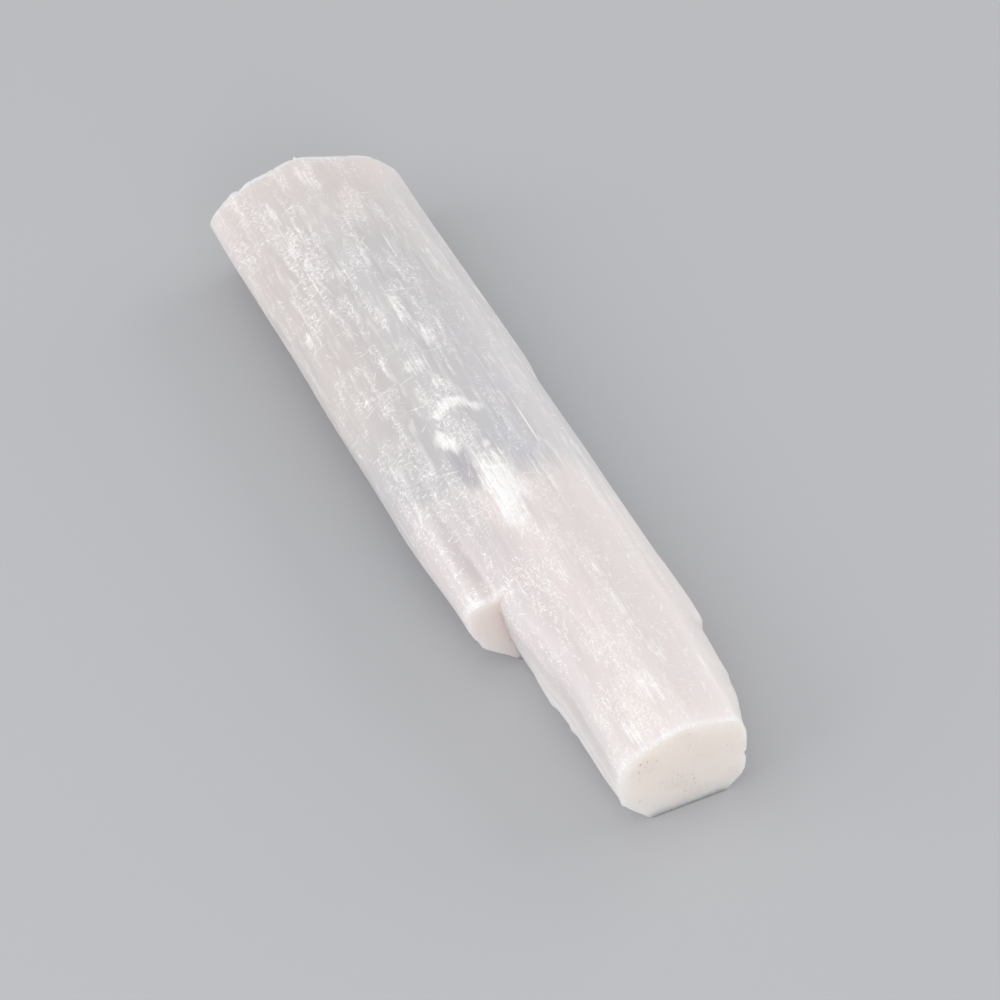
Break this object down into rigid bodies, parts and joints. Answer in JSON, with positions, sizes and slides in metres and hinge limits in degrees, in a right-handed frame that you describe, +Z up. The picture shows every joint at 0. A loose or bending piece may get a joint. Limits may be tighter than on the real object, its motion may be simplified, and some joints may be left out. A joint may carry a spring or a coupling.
{
  "type": "raw selenite crystal stick",
  "caption": "Raw milky selenite stick with long soft facets, both ends sawn flat, and a side lobe that stops short in a step.",
  "frame": {"origin": "under the middle of the bounding box, on the plane of the flat base", "axes": "+X along the stick towards its narrower stepped end, +Z up from the base, +Y across towards the unstepped side"},
  "size_m": [0.12, 0.032, 0.0176],
  "materials": {
    "satin_gypsum": "milky translucent white, silky and fibrous along the length, scuffed, with smoother sawn ends"
  },
  "bodies": {
    "root": {"selenite_crystal": "satin_gypsum"}
  },
  "joints": []
}
